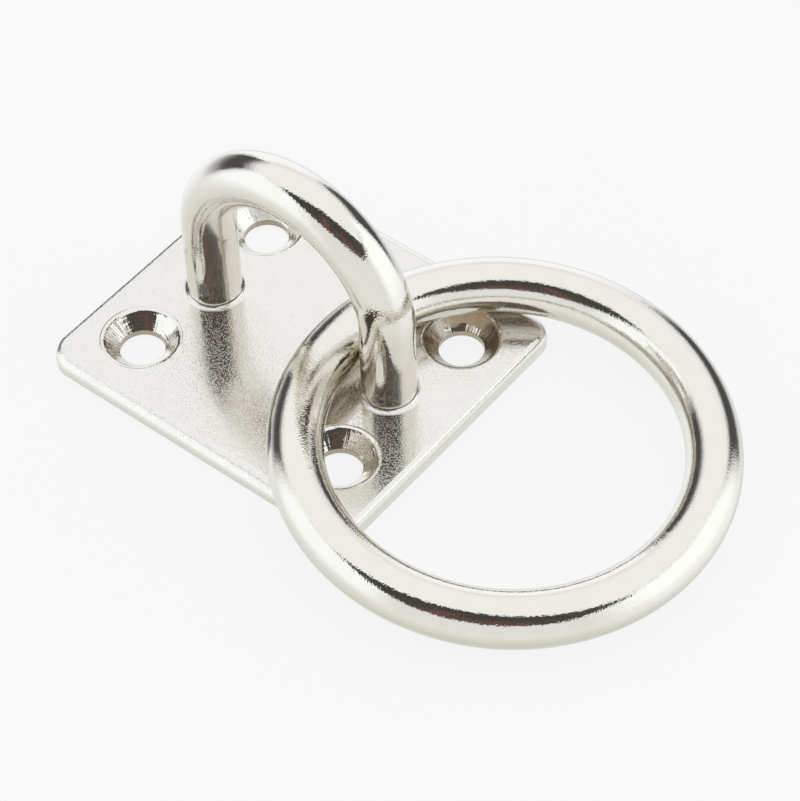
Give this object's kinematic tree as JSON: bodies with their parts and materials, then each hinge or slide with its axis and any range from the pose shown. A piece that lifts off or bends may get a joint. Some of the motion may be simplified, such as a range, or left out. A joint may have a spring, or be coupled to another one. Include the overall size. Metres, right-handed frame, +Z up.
{
  "type": "pad eye with ring",
  "caption": "Rectangular screw-down base plate with a riveted half-round bow and a round ring hung loose in the bow.",
  "frame": {"origin": "centre of the four screw holes, on the base plate's back face", "axes": "+X along the plate's long side, from the bow's empty leg to the leg that the ring lies round; +Y along the plate's short side; +Z up, out of the plate, towards the top of the bow"},
  "size_m": [0.0728, 0.0494, 0.0275],
  "materials": {
    "satin_steel": "satin",
    "polished_steel": "polished"
  },
  "bodies": {
    "plate_and_bow": {"base_plate": "satin_steel", "bow": "polished_steel"},
    "ring": {"ring": "polished_steel"}
  },
  "joints": [
    {"name": "ring_swing", "type": "hinge", "parent": "plate_and_bow", "child": "ring", "pos_m": [0, 0, 0.00636], "axis": [0, -1, 0], "range_deg": [0, 187.8]}
  ]
}
